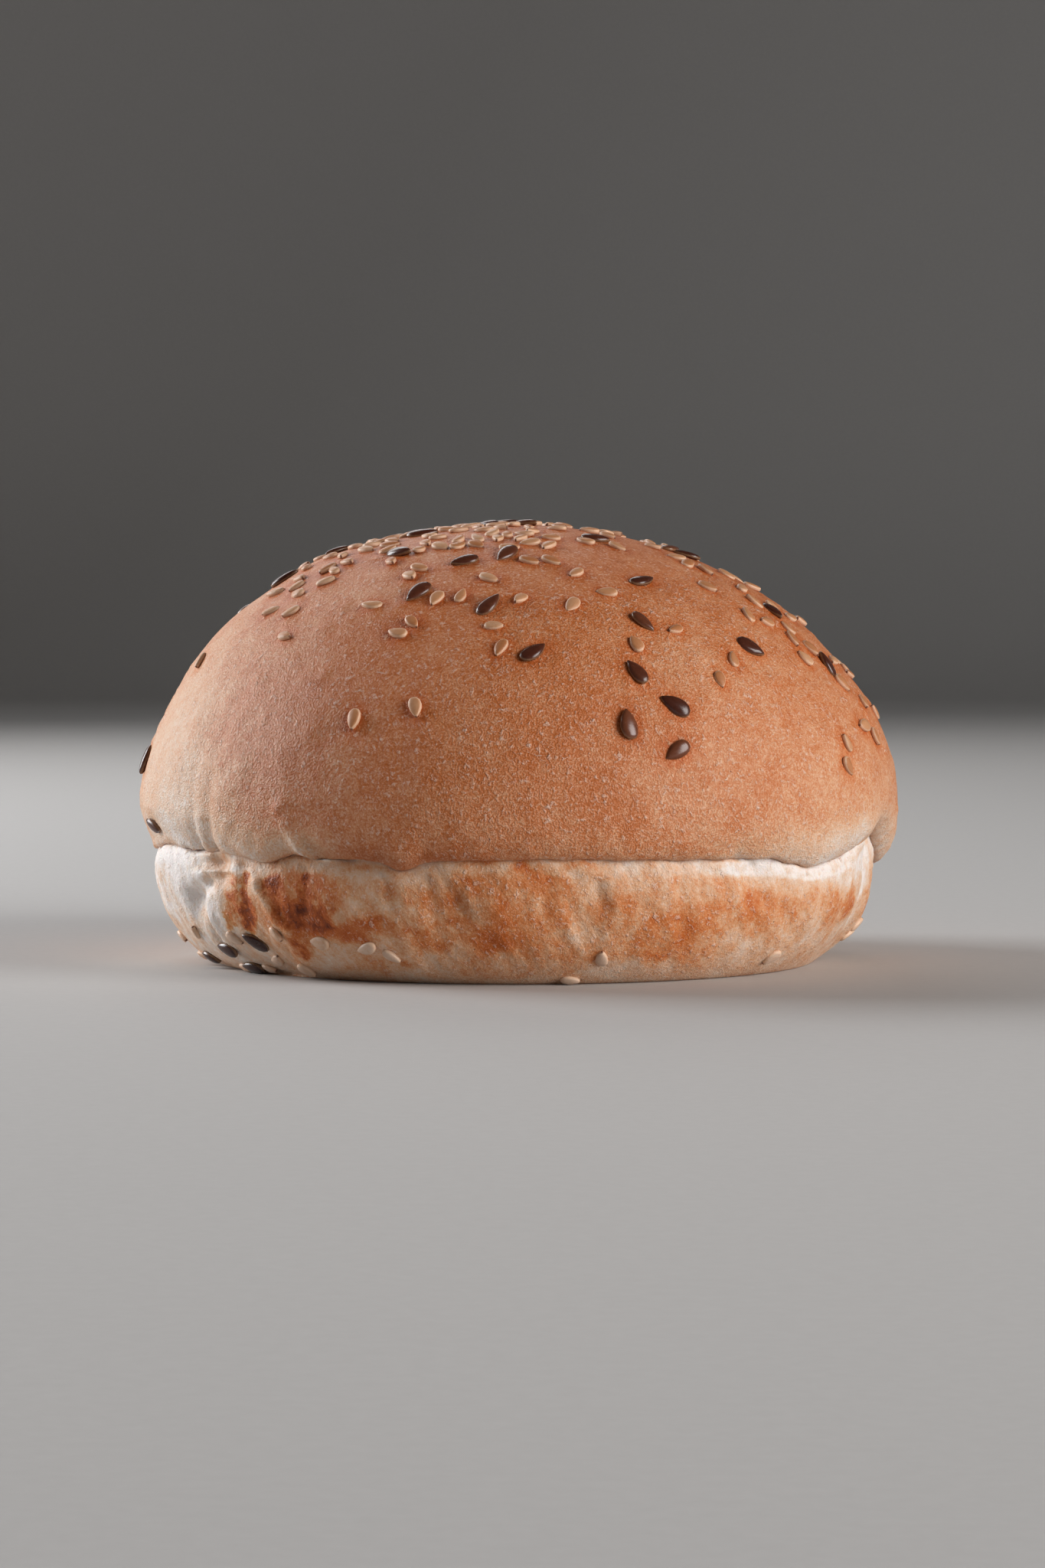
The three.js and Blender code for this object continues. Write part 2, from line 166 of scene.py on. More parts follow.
def crease_climb(azimuth, level):
    """How far the crease has climbed, carried over on to the crust either side of it."""
    below = smooth((level - FOOT_LEVEL) / CLIMB_FADE_BELOW)
    above = 1 - smooth((level - CLIMB_FADE_START) / CLIMB_FADE_ABOVE)
    climb = sum(height * bell(turn_between(azimuth, centre), spread)
                for centre, spread, height in CREASE_WAVES)
    return climb * np.minimum(below, above)


def pleat_depth(azimuth, level, pleats):
    """How deep the crust is pressed in by these pleats."""
    up = level - CREASE_LEVEL
    depth_here = np.zeros_like(azimuth)
    for centre, lean, wide, depth, reach in pleats:
        fade = smooth(1 - np.where(up > 0, up / reach, -up / PLEAT_FADE_BELOW))
        depth_here += depth * fade * bell(turn_between(azimuth, centre + lean * up), wide)
    return depth_here


def relief(azimuth, level):
    """How far the crust stands out from the plain section."""
    out = np.zeros_like(azimuth)
    for centre, middle, wide, tall, height in SWELLS:
        out += height * bell(turn_between(azimuth, centre), wide) * bell(level - middle, tall)
    out -= pleat_depth(azimuth, level, PLEATS)
    from_foot = smooth((level - FOOT_LEVEL) / RELIEF_FADE_FOOT)
    from_crown = smooth((CROWN_LEVEL - level) / RELIEF_FADE_CROWN)
    return out * from_foot * from_crown


def crust_point(azimuth, level, extra=0.0):
    """Points on the crust in millimetres, pushed out by extra."""
    radius, height = section(level, tuck_at(azimuth))
    out = radius + relief(azimuth, level) + extra
    angle = np.radians(azimuth)
    x = out * np.sin(angle)
    y = -out * np.cos(angle) * (DEPTH / WIDTH)
    return np.stack([x, y, height + crease_climb(azimuth, level)], axis=-1)


# Fine creases that are too thin for the solid: azimuth, lean, spread, depth, reach.
FINE_PLEATS = [
    (-62, 3, 0.9, 0.35, 1.2), (-58.6, 3, 0.6, 0.75, 1.3), (-54.8, 3.5, 0.7, 0.6, 1.3),
    (-50.2, -6, 0.6, 0.3, 0.8), (-46, -9, 0.6, 0.3, 0.7), (-43.5, -12, 0.6, 0.35, 0.7),
    (-39, -14, 0.6, 0.3, 0.6), (-35.5, -10, 0.6, 0.25, 0.5), (-30.8, -5.2, 0.6, -0.4, 1.1),
    (-29.2, -5.2, 0.6, 0.45, 1.1), (23.4, 0, 0.5, 0.35, 0.6), (31, 1, 0.6, 0.2, 0.5),
    (35.2, -1.5, 0.5, 0.5, 0.85), (47, 2, 0.7, 0.2, 0.5), (58, 3, 0.6, 0.25, 0.7),
    (63.5, 8, 0.7, 0.6, 0.9), (74.8, -3.5, 0.8, 0.6, 1.1), (101, 3, 0.7, 0.4, 0.6),
    (118, 5, 0.7, 0.6, 0.9), (131, -3, 0.6, 0.4, 0.7), (147, 2, 0.6, 0.3, 0.6),
    (174, -5, 0.7, 0.6, 0.9), (-172, 3, 0.6, 0.3, 0.6), (-151, 4, 0.6, 0.4, 0.8),
    (-143, -4, 0.7, 0.6, 0.9), (-124, 2, 0.6, 0.35, 0.6), (-103, 4, 0.7, 0.5, 0.8),
    (-84, 3, 0.7, 0.35, 0.7),
]

# Thin furrows that run down the band, from level to level: azimuth, spread, depth, low, high.
BAND_FURROWS = [
    (-58.2, 0.8, 0.7, 1.35, 1.92), (-56.2, 1.0, -0.5, 1.4, 1.94), (-47.6, 0.6, 0.4, 2.0, 2.6),
    (-46.5, 0.9, 0.35, 1.5, 2.5), (-39.5, 0.7, 0.35, 1.3, 2.1), (-34, 0.8, 0.3, 1.5, 2.5),
    (-20, 0.6, 0.25, 1.7, 2.6), (-13, 0.9, 0.3, 1.6, 2.4), (-9, 0.6, 0.25, 1.7, 2.3),
    (4, 0.9, 0.2, 1.6, 2.4), (12, 0.8, 0.22, 1.55, 2.2), (26, 1.0, 0.25, 1.5, 2.4),
    (38.5, 0.5, 0.45, 1.7, 2.7), (51, 0.9, 0.25, 1.6, 2.5), (63, 0.8, 0.4, 1.6, 2.6),
    (74, 0.9, 0.5, 1.5, 2.8), (92, 1.0, 0.3, 1.5, 2.5), (109, 0.8, 0.4, 1.5, 2.6),
    (123, 0.8, 0.5, 1.5, 2.6), (141, 1.1, 0.3, 1.5, 2.5), (158, 0.8, 0.4, 1.5, 2.6),
    (173, 0.8, 0.4, 1.5, 2.6), (-168, 1.1, 0.3, 1.5, 2.5), (-149, 0.8, 0.4, 1.5, 2.6),
    (-132, 0.8, 0.5, 1.5, 2.6), (-117, 1.1, 0.3, 1.5, 2.5), (-101, 0.8, 0.4, 1.5, 2.6),
    (-88, 0.9, 0.35, 1.6, 2.5),
]
FURROW_BEND = 0.9  # degrees by which a furrow wanders either way
FURROW_WAVES = 5  # how fast it wanders, in radians for each level
FURROW_FADE_LOW = 0.25  # levels over which it fades at its lower and upper ends
FURROW_FADE_HIGH = 0.3

# Slanting strands of drawn dough, dents where the height is below 0:
# from azimuth and level, to azimuth and level, spread and height in millimetres.
STRANDS = [
    (-62, 1.83, -55.5, 1.93, 0.8, -0.6), (-55.5, 1.93, -49.5, 1.99, 0.8, -0.5),
    (-61, 1.93, -53, 2.05, 0.9, 0.35), (-43.2, 1.96, -37.6, 1.64, 0.6, 0.5),
    (-41.6, 1.97, -36.6, 1.68, 0.6, -0.25), (-44.2, 2.2, -43.0, 1.98, 0.5, 0.35),
    (-10.4, 1.98, -7.2, 1.78, 0.6, -0.3), (-8.8, 2.0, -5.8, 1.80, 0.6, 0.25),
    (12.2, 1.96, 13.8, 1.82, 0.6, -0.3), (13.8, 1.98, 15.4, 1.84, 0.6, 0.22),
    (8.2, 1.68, 10.6, 1.52, 0.5, 0.35), (-30.5, 1.92, -28.6, 1.78, 0.5, 0.3),
    (-25.6, 1.86, -23.8, 1.74, 0.5, 0.3), (128, 1.95, 132, 1.7, 0.7, 0.45),
    (-152, 1.9, -148, 1.68, 0.7, -0.3),
]
DEGREE_WIDE = 0.88  # millimetres to a degree round the band
LEVEL_TALL = 17.0  # millimetres to a level up the band


def strand_height(azimuth, level):
    """How far the band stands out along its strands, in millimetres."""
    height_here = np.zeros_like(azimuth)
    for start, low, end, high, spread, height in STRANDS:
        run, rise = (end - start) * DEGREE_WIDE, (high - low) * LEVEL_TALL
        across = turn_between(azimuth, start) * DEGREE_WIDE
        up = (level - low) * LEVEL_TALL
        along = np.clip((across * run + up * rise) / (run * run + rise * rise), 0, 1)
        height_here += height * bell(np.hypot(across - along * run, up - along * rise), spread)
    return height_here


def band_furrows(azimuth, level):
    """How deep the band is pressed in by its furrows, each a little crooked."""
    depth_here = np.zeros_like(azimuth)
    for centre, spread, depth, low, high in BAND_FURROWS:
        bend = FURROW_BEND * np.sin(FURROW_WAVES * level + centre)
        fade = smooth((level - low) / FURROW_FADE_LOW) * smooth((high - level) / FURROW_FADE_HIGH)
        depth_here += depth * fade * bell(turn_between(azimuth, centre + bend), spread)
    return depth_here


def put_in_scene(name, data):
    """An object of this name that holds a mesh, a light or a camera."""
    added = bpy.data.objects.new(name, data)
    bpy.context.scene.collection.objects.link(added)
    return added


def smooth_object(name, shape):
    """An object made from a bmesh, shaded smooth."""
    mesh = bpy.data.meshes.new(name)
    shape.to_mesh(mesh)
    shape.free()
    mesh.shade_smooth()
    return put_in_scene(name, mesh)


def spin_round(shape, outline, sides):
    """Spins a row of vertices right round the upright axis."""
    rungs = [shape.edges.new(pair) for pair in zip(outline, outline[1:])]
    bmesh.ops.spin(shape, geom=outline + rungs, cent=(0, 0, 0), axis=(0, 0, 1),
                   angle=2 * math.pi, steps=sides, use_merge=True, use_duplicate=False)
    bmesh.ops.remove_doubles(shape, verts=shape.verts[:], dist=MERGE_GAP * MM)


# The crust's mesh: the section spun round the axis, then pushed out to the real crust.
SIDES = 480
ROWS = [(0, 1, 8), (1, 2, 36), (2, 3, 22), (3, 4, 34), (4, 5, 98)]  # from, to level, steps
MERGE_GAP = 0.001

row_levels = [0.0]
for low, high, steps in ROWS:
    row_levels += [low + (high - low) * (step + 1) / steps for step in range(steps)]

shell = bmesh.new()
level_layer = shell.verts.layers.float.new("level")
outline_r, outline_z = section(np.array(row_levels), np.full(len(row_levels), TUCK_MIN))
outline_r[0] = outline_r[-1] = 0.0
outline = []
for row_level, out, up in zip(row_levels, outline_r, outline_z):
    point = shell.verts.new((0.0, -out * MM, up * MM))
    point[level_layer] = row_level
    outline.append(point)
spin_round(shell, outline, SIDES)
bmesh.ops.recalc_face_normals(shell, faces=shell.faces[:])
crust = smooth_object("crust", shell)
crust_mesh = crust.data

count = len(crust_mesh.vertices)
level = np.zeros(count, dtype=np.float32)
crust_mesh.attributes["level"].data.foreach_get("value", level)
level = level.astype(float)
crust_mesh.attributes.remove(crust_mesh.attributes["level"])
spun = np.zeros(count * 3)
crust_mesh.vertices.foreach_get("co", spun)
spun = spun.reshape(-1, 3)
azimuth = np.degrees(np.arctan2(spun[:, 0], -spun[:, 1]))

# The kinds of skin, each by the level where it begins or ends and the levels that this takes.
DOME_BEGINS = (3.5, 0.5)
BAND_BEGINS = (1.15, 0.3)
BAND_ENDS = (2.7, 0.3)
LIP_BEGINS = (3.0, 0.1)
LIP_ENDS = (3.6, 0.4)

# The lumps in the skin: height and size in millimetres, seed, octaves.
DOME_HUMPS = (0.24, 13.0, 1, 3)
DOME_DIMPLES = (0.07, 3.6, 2, 3)
BAND_WRINKLES = (0.26, 3.4, 3, 3)
BAND_RIPPLES = (0.20, 1.5, 4, 2)
LIP_WRINKLES = (0.20, 2.4, 5, 3)
LIP_RIPPLES = (0.08, 1.3, 6, 2)
CREASE_WANDER = (0.36, 3.0, 8, 4)
CREASE_WANDER_SPREAD = 0.35

# Pimples, which are the tops of fine lumps, on the broad patches of the dome that have them.
PIMPLE_HEIGHT = 0.30
PIMPLES = (1.0, 2.3, 7, 1)
PIMPLE_EDGE = (0.22, 0.5)
PIMPLY_PATCHES = (1.6, 24.0, 9, 1)

BAND_SLANT = 0.55  # degrees for each millimetre up, along which the band's skin is drawn
BAND_SQUEEZE = 0.4  # heights count for this much, which draws the wrinkles out upwards
LIP_SQUEEZE = 0.45
FINE_FADE_CROWN = 0.05
NOISE_SHIFT = Vector((7.31, 3.17, 5.73))


def lumps(points, height, size, seed, octaves):
    """Soft lumps of about this height and size, at points in millimetres."""
    shift = seed * NOISE_SHIFT
    return height * np.array([
        noise.fractal(Vector(point) / size + shift, 1.0, 2.0, octaves) for point in points
    ])


def past(level, change):
    """0 before a change in the skin and 1 beyond it."""
    start, stretch = change
    return smooth((level - start) / stretch)


plain = crust_point(azimuth, level)
on_dome = past(level, DOME_BEGINS)
on_band = past(level, BAND_BEGINS) * (1 - past(level, BAND_ENDS))
near_lip = past(level, LIP_BEGINS) * (1 - past(level, LIP_ENDS))
lean = np.radians(azimuth + BAND_SLANT * plain[:, 2])
slanted = np.stack([HEEL_R * np.sin(lean), HEEL_R * np.cos(lean), BAND_SQUEEZE * plain[:, 2]], axis=-1)
stretched = plain * (1, 1, LIP_SQUEEZE)
pimpled = smooth(0.5 + lumps(plain, *PIMPLY_PATCHES)) * on_dome
strands = strand_height(azimuth, level)

fine = on_dome * (lumps(plain, *DOME_HUMPS) + lumps(plain, *DOME_DIMPLES))
fine += PIMPLE_HEIGHT * pimpled * past(lumps(plain, *PIMPLES), PIMPLE_EDGE)
fine += on_band * (lumps(slanted, *BAND_WRINKLES) + lumps(slanted, *BAND_RIPPLES))
fine += near_lip * (lumps(stretched, *LIP_WRINKLES) + lumps(plain, *LIP_RIPPLES))
fine += strands - band_furrows(azimuth, level) - pleat_depth(azimuth, level, FINE_PLEATS)
fine *= smooth((level - FOOT_LEVEL) / RELIEF_FADE_FOOT)
fine *= smooth((CROWN_LEVEL - level) / FINE_FADE_CROWN)
points = crust_point(azimuth, level, fine)
wander = lumps(plain * (1, 1, 0), *CREASE_WANDER)
points[:, 2] += wander * bell(level - CREASE_LEVEL, CREASE_WANDER_SPREAD)
crust_mesh.vertices.foreach_set("co", (points * MM).ravel())
crust_mesh.update()

# ---- where the seeds lie: the same places as on the solid ----
# Azimuth, level, turn. The turn is where the tip points: 0 down to the base, 90 to a growing
# azimuth.
LINSEED_SPOTS = [
    (-40, 4.7, 80), (-15, 4.66, -55), (-3, 4.69, -30), (-22, 4.54, -25), (-5.5, 4.5, 145),
    (3, 4.37, 130), (32, 4.58, 100), (25, 4.45, 30), (20, 4.32, -155), (25, 4.24, -130),
    (17, 4.2, -175), (24, 4.14, -60), (46, 4.38, 40), (68.5, 4.33, -175), (67, 4.48, -25),
    (39, 4.78, 55), (-62, 4.82, 150), (-43, 4.93, 80), (26, 4.96, 20), (-81, 4.59, 160),
    (-81, 4.71, 30), (80, 4.72, 70), (79, 4.69, 200), (-83, 4.1, 10), (-73, 3.67, 70),
    (-47, 1.56, -130), (-57, 1.46, -105), (-69, 1.3, 70), (-55, 1.25, -95),
]
SESAME_SPOTS = [
    (-25, 4.21, 0), (-15.5, 4.24, 15), (-2.5, 4.38, -25), (-4, 4.44, 85), (-20, 4.45, 45),
    (-22, 4.42, -100), (-31, 4.5, -80), (-17, 4.52, -15), (-12, 4.53, 165), (1, 4.52, -35),
    (11.5, 4.5, -35), (20.5, 4.54, -105), (15.5, 4.61, -50), (10.5, 4.66, 45), (4, 4.66, 60),
    (-6.5, 4.59, 60), (-26.5, 4.63, 80), (-27.5, 4.6, 45), (-38, 4.66, 45), (-28, 4.73, 65),
    (-15, 4.74, 60), (-8.5, 4.78, 5), (2, 4.78, -30), (41, 4.73, 20), (21.5, 4.39, -165),
    (31, 4.43, -70), (40, 4.35, 165), (35, 4.3, -5), (51.5, 4.56, 15), (54, 4.47, 170),
    (58.5, 4.45, -100), (63.5, 4.51, -160), (65, 4.43, -165), (62.5, 4.4, -20), (61, 4.35, -160),
    (74, 4.23, -45), (68, 4.18, -100), (71.5, 4.15, 5), (59.5, 4.15, -155), (58, 4.1, 30),
    (-59.5, 4.48, -35), (-52, 4.48, -25), (-52, 4.58, 130), (-59, 4.63, 0), (-66.5, 4.59, 90),
    (-47, 4.41, 80), (-74, 4.34, 30), (-40.5, 1.64, 50), (-45, 1.4, 135), (-38.5, 1.29, 35),
    (-32.5, 1.58, -95), (-24, 1.56, -70), (-20, 1.5, 55), (14, 1.48, -170), (48.5, 1.42, -40),
    (-65.5, 1.57, 145), (85.5, 1.59, 150), (84.5, 1.5, 155), (-52, 1.57, 50), (-51, 1.24, 85),
    (-57.5, 1.23, 95), (-76, 1.3, 70), (-80.5, 1.49, 60), (9.5, 1.22, 90),
]

# Drifts: from and to azimuth, from and to rise above the belly in degrees, sesame, linseed.
DOME_DRIFTS = [
    (-180, 180, 64, 88, 76, 1), (-92, -48, 48, 62, 10, 0), (60, 96, 18, 62, 16, 0),
    (96, 180, 24, 64, 30, 4), (-180, -92, 24, 64, 30, 6), (96, 268, 4, 24, 10, 3),
    (-95, 12, 63, 84, 24, 0),
]
HEEL_DRIFTS = [(102, 262, 14, 4)]  # from, to, sesame, linseed
HEEL_DRIFT_LEVELS = (1.3, 1.62)
SEED_GAP = 2.3  # millimetres between the middles of two seeds, at the least
DRIFT_TRIES = 12
DRAW_FACTOR = 1664525
DRAW_STEP = 1013904223
DRAW_RANGE = 2 ** 32
draw_state = 20261


def draw():
    """A repeatable draw between 0 and 1, the same as the solid's."""
    global draw_state
    draw_state = (draw_state * DRAW_FACTOR + DRAW_STEP) % DRAW_RANGE
    return draw_state / DRAW_RANGE


def between(low, high):
    return low + (high - low) * draw()


def spot_on(azimuth, level):
    return crust_point(np.array([float(azimuth)]), np.array([float(level)]))[0]


def scatter(taken, number, spot):
    """Lays seeds within a drift, each clear of those that already lie there."""
    laid = []
    for _ in range(number):
        for _ in range(DRIFT_TRIES):
            where = spot()
            turn = 360 * draw()
            middle = spot_on(*where)
            if np.linalg.norm(np.array(taken) - middle, axis=1).min() > SEED_GAP:
                taken.append(middle)
                laid.append((*where, turn))
                break
    return laid


linseed_places = list(LINSEED_SPOTS)
sesame_places = list(SESAME_SPOTS)
taken = [spot_on(place[0], place[1]) for place in linseed_places + sesame_places]
for start, end, low, high, sesame, linseed in DOME_DRIFTS:
    def dome_spot():
        azimuth = between(start, end)
        spread = between(math.cos(math.radians(high)), math.cos(math.radians(low)))
        return azimuth, BELLY_LEVEL + math.acos(spread) / (math.pi / 2)
    linseed_places += scatter(taken, linseed, dome_spot)
    sesame_places += scatter(taken, sesame, dome_spot)
for start, end, sesame, linseed in HEEL_DRIFTS:
    def heel_spot():
        return between(start, end), between(*HEEL_DRIFT_LEVELS)
    linseed_places += scatter(taken, linseed, heel_spot)
    sesame_places += scatter(taken, sesame, heel_spot)

FRAME_STEP = 0.02  # levels


def seed_frame(azimuth, level, turn):
    """Middle of a seed on the crust, and its side, tip and outward directions."""
    middle = spot_on(azimuth, level)
    right = spot_on(azimuth + 1, level) - spot_on(azimuth - 1, level)
    down = spot_on(azimuth, level - FRAME_STEP) - spot_on(azimuth, level + FRAME_STEP)
    right /= np.linalg.norm(right)
    down /= np.linalg.norm(down)
    outward = np.cross(down, right)
    outward /= np.linalg.norm(outward)
    tip = down * math.cos(math.radians(turn)) + right * math.sin(math.radians(turn))
    tip -= outward * tip.dot(outward)
    tip /= np.linalg.norm(tip)
    return middle, np.cross(tip, outward), tip, outward


# The two kinds of seed, in millimetres. The taper is how much slimmer the tip half is.
SESAME = {"length": 2.95, "width": 1.7, "thickness": 0.85, "taper": 0.55}
LINSEED = {"length": 4.4, "width": 2.3, "thickness": 1.15, "taper": 0.6}

# The glaze pools and darkens round each seed on the dome, up to this far past the seed's edge.
HALO_REACH = 1.4
HALO_SOFTNESS = 0.25
halo = np.zeros(count)
for places, kind in ((linseed_places, LINSEED), (sesame_places, SESAME)):
    for place in places:
        middle, side, tip, outward = seed_frame(*place)
        gap = points - middle
        near = np.abs(gap).max(axis=1) < kind["length"]
        along = gap[near] @ tip / (kind["length"] / 2 + HALO_REACH)
        across = gap[near] @ side / (kind["width"] / 2 + HALO_REACH)
        ring = smooth(1 + HALO_SOFTNESS - np.hypot(along, across))
        halo[near] = np.maximum(halo[near], ring)
halo *= on_dome

# ---- how the oven browned the crust ----
# Browning by level: pale where the band was shielded, deepest over the top.
BROWNING = [
    (0, 0.60), (0.85, 0.56), (1.0, 0.42), (1.15, 0.36), (1.35, 0.33), (1.55, 0.33), (1.8, 0.34),
    (2.05, 0.34), (2.3, 0.26), (2.6, 0.17), (3.0, 0.22), (3.15, 0.42), (3.5, 0.58), (3.8, 0.66),
    (4.1, 0.71), (4.3, 0.74), (4.7, 0.76), (5, 0.75),
]

# Stretches that stayed creamy, and patches that toasted: azimuth, level, spreads, amount.
CREAMY = [
    (-74, 4.1, 22, 0.7, -0.34), (-62, 3.6, 19, 0.36, -0.26), (-55, 3.9, 12, 0.24, -0.20),
    (-58, 3.4, 8, 0.2, -0.14), (-36, 3.5, 12, 0.26, -0.26), (36, 4.3, 20, 0.17, -0.13),
    (60, 3.62, 18, 0.32, -0.38), (54, 3.9, 26, 0.4, -0.09), (51, 3.36, 8, 0.14, -0.18),
    (38, 3.25, 9, 0.12, -0.12), (-36, 4.45, 16, 0.16, -0.12), (85, 3.4, 8, 0.34, -0.26),
    (56, 2.5, 24, 0.3, -0.20), (60, 2.08, 16, 0.14, -0.20), (34, 2.14, 2.6, 0.16, -0.26),
    (75, 1.9, 6, 0.2, -0.26), (36, 2.1, 6, 0.14, -0.14), (68, 1.98, 6, 0.16, -0.14),
    (50, 2.2, 18, 0.12, -0.10), (-48, 2.12, 2.6, 0.16, -0.30), (-76, 2.1, 13, 0.6, -0.34),
    (-65, 2.1, 7, 0.5, -0.24), (-57, 1.6, 5, 0.4, -0.20), (-40.5, 1.68, 1.5, 0.1, -0.24),
    (-26, 1.52, 8, 0.06, -0.12), (-26, 2.1, 5, 0.3, -0.08), (-12, 2.0, 3, 0.12, -0.14),
    (10.5, 2.0, 2, 0.3, -0.10), (120, 3.3, 22, 0.35, -0.30), (160, 2.5, 20, 0.4, -0.15),
    (-150, 3.3, 20, 0.35, -0.30), (-110, 2.5, 16, 0.4, -0.15), (-130, 4.0, 20, 0.5, -0.12),
    (100, 2.5, 12, 0.4, -0.15),
]
TOASTED = [
    (-62, 4.62, 17, 0.2, 0.14), (-24, 4.4, 14, 0.16, 0.10), (-16, 3.4, 14, 0.3, 0.20),
    (-26, 3.32, 7, 0.16, 0.16), (-17, 1.9, 7, 0.18, 0.14), (-2, 1.9, 12, 0.34, 0.31),
    (-2.6, 1.6, 5, 0.07, 0.24), (3, 2.25, 6, 0.16, 0.12), (-6, 2.0, 4, 0.14, 0.06),
    (4, 1.5, 8, 0.1, 0.14), (6.3, 2.02, 2.2, 0.09, 0.20), (0, 2.6, 17, 0.17, 0.30),
    (0.4, 2.36, 1.4, 0.12, 0.3), (-36, 2.6, 14, 0.1, 0.2), (-22, 2.4, 8, 0.18, 0.34),
    (-40, 2.4, 5, 0.1, 0.16), (11, 2.4, 4, 0.12, 0.26), (15.5, 1.84, 3, 0.14, 0.12),
    (10, 1.86, 4, 0.1, 0.16), (25, 1.64, 9, 0.2, 0.27), (21, 1.5, 8, 0.08, 0.12),
    (30, 1.9, 8, 0.24, 0.16), (-26.5, 1.66, 6.5, 0.11, 0.50), (-13, 1.66, 5, 0.09, 0.26),
    (-18, 1.42, 14, 0.14, 0.16), (-5, 1.3, 10, 0.09, 0.16), (-17, 1.72, 8, 0.025, 0.24),
    (43, 1.82, 8, 0.16, 0.24), (57, 1.84, 7, 0.12, 0.12), (66, 1.79, 4, 0.11, 0.36),
    (60.5, 1.83, 1.6, 0.05, 0.12), (40, 1.68, 6, 0.08, 0.14), (34, 2.6, 3, 0.1, 0.2),
    (-72, 1.9, 7, 0.2, 0.08), (-38, 1.9, 6.5, 0.28, 0.30), (-29, 1.98, 4, 0.2, 0.26),
    (-34, 1.72, 6, 0.14, 0.30), (-38, 1.52, 2.4, 0.1, 0.30), (-49.3, 1.82, 2.4, 0.2, 0.30),
    (92, 1.8, 12, 0.17, 0.32), (131, 1.78, 18, 0.22, 0.32), (170, 1.75, 16, 0.2, 0.34),
    (-158, 1.85, 10, 0.16, 0.30), (-132, 1.78, 14, 0.22, 0.32), (-104, 1.82, 11, 0.16, 0.30),
]
SCORCHED = [
    (-49.4, 1.84, 1.6, 0.12, 0.42), (-51.4, 1.65, 0.9, 0.05, 0.6), (-46.2, 1.9, 1.3, 0.2, 0.40),
    (-45.9, 2.03, 0.9, 0.1, 0.8), (-46.4, 1.88, 0.9, 0.09, 0.9), (-47.5, 1.72, 0.8, 0.09, 0.8),
    (-39.4, 2.0, 1.8, 0.13, 0.34), (-33.4, 1.94, 1.6, 0.13, 0.34), (-36.4, 1.79, 3.2, 0.10, 0.34),
    (-37.4, 1.5, 1.4, 0.06, 0.42), (-30.6, 1.75, 2.2, 0.09, 0.62), (-40.2, 2.07, 1.2, 0.07, 0.5),
    (-38.6, 1.97, 0.9, 0.06, 0.3), (-33.4, 1.98, 1.2, 0.08, 0.45), (-34.9, 1.76, 1.5, 0.05, 0.3),
    (128, 1.75, 3.4, 0.14, 0.5), (134, 1.86, 1.4, 0.08, 0.8), (-137, 1.8, 3.2, 0.12, 0.5),
    (-138.5, 1.84, 1.2, 0.07, 0.5), (172, 1.7, 2.4, 0.1, 0.5),
]

# Thin white lines where the dough's skin was drawn out, partly paler skin and partly a painted
# highlight along the raised ridges: azimuth, lean, spread, how much paler, reach.
PALE_VEINS_AND_RIDGE_HIGHLIGHTS = [
    (-31.2, -5.2, 0.55, 0.5, 1.05), (-40.5, -5, 0.5, 0.25, 1.0), (-45.6, -6, 0.5, 0.3, 1.0),
    (-20.5, -3, 0.5, 0.15, 0.6), (5.2, 1, 0.5, 0.2, 0.3), (23.8, 0, 0.6, 0.3, 0.5),
    (36, -1.5, 0.7, 0.3, 0.7),
]

# The patches' edges wander, by up to these degrees and levels: amount, size, seed, octaves.
AZIMUTH_STRAY = (2.2, 4.0, 21, 3)
LEVEL_STRAY = (0.10, 3.4, 22, 3)
strayed_azimuth = azimuth + lumps(plain, *AZIMUTH_STRAY)
strayed_level = level + lumps(plain, *LEVEL_STRAY)


def patches(places):
    """The sum of these patches over the crust."""
    total = np.zeros(count)
    for centre, middle, wide, tall, amount in places:
        across = bell(turn_between(strayed_azimuth, centre), wide)
        total += amount * across * bell(strayed_level - middle, tall)
    return total


STRAND_PALENESS = 0.35

# The shade in the fold, deeper where the dome is tucked in, and on one stretch of the dome just
# above it: azimuth, level, spreads, amount.
FOLD_SHADE_LEVEL = 3.05
FOLD_SHADE_TALL = 0.17
FOLD_SHADE_LEAST = 0.4
FULL_SHADE_TUCK = 12
BELLY_SHADE = (-18, 3.42, 17, 0.2, 0.38)

browning_levels, browning_amounts = zip(*BROWNING)
browning = np.interp(level, browning_levels, browning_amounts)
# The pale veins take browning away: paler drawn-out skin, with a painted highlight on the ridges.
browning += patches(CREAMY) + patches(TOASTED) - pleat_depth(azimuth, level, PALE_VEINS_AND_RIDGE_HIGHLIGHTS)
browning -= STRAND_PALENESS * np.maximum(strands, 0)
scorch = np.clip(patches(SCORCHED), 0, 1)
tucked = smooth((tuck_at(azimuth) - TUCK_MIN) / FULL_SHADE_TUCK)
fold_shade = bell(level - FOLD_SHADE_LEVEL, FOLD_SHADE_TALL)
fold_shade *= FOLD_SHADE_LEAST + (1 - FOLD_SHADE_LEAST) * tucked
centre, middle, wide, tall, amount = BELLY_SHADE
fold_shade += amount * bell(turn_between(azimuth, centre), wide) * bell(level - middle, tall)

for name, values in (("browning", browning), ("scorch", scorch), ("halo", halo),
                     ("fold_shade", fold_shade), ("on_band", on_band)):
    layer = crust_mesh.attributes.new(name, "FLOAT", "POINT")
    layer.data.foreach_set("value", values.astype(np.float32))


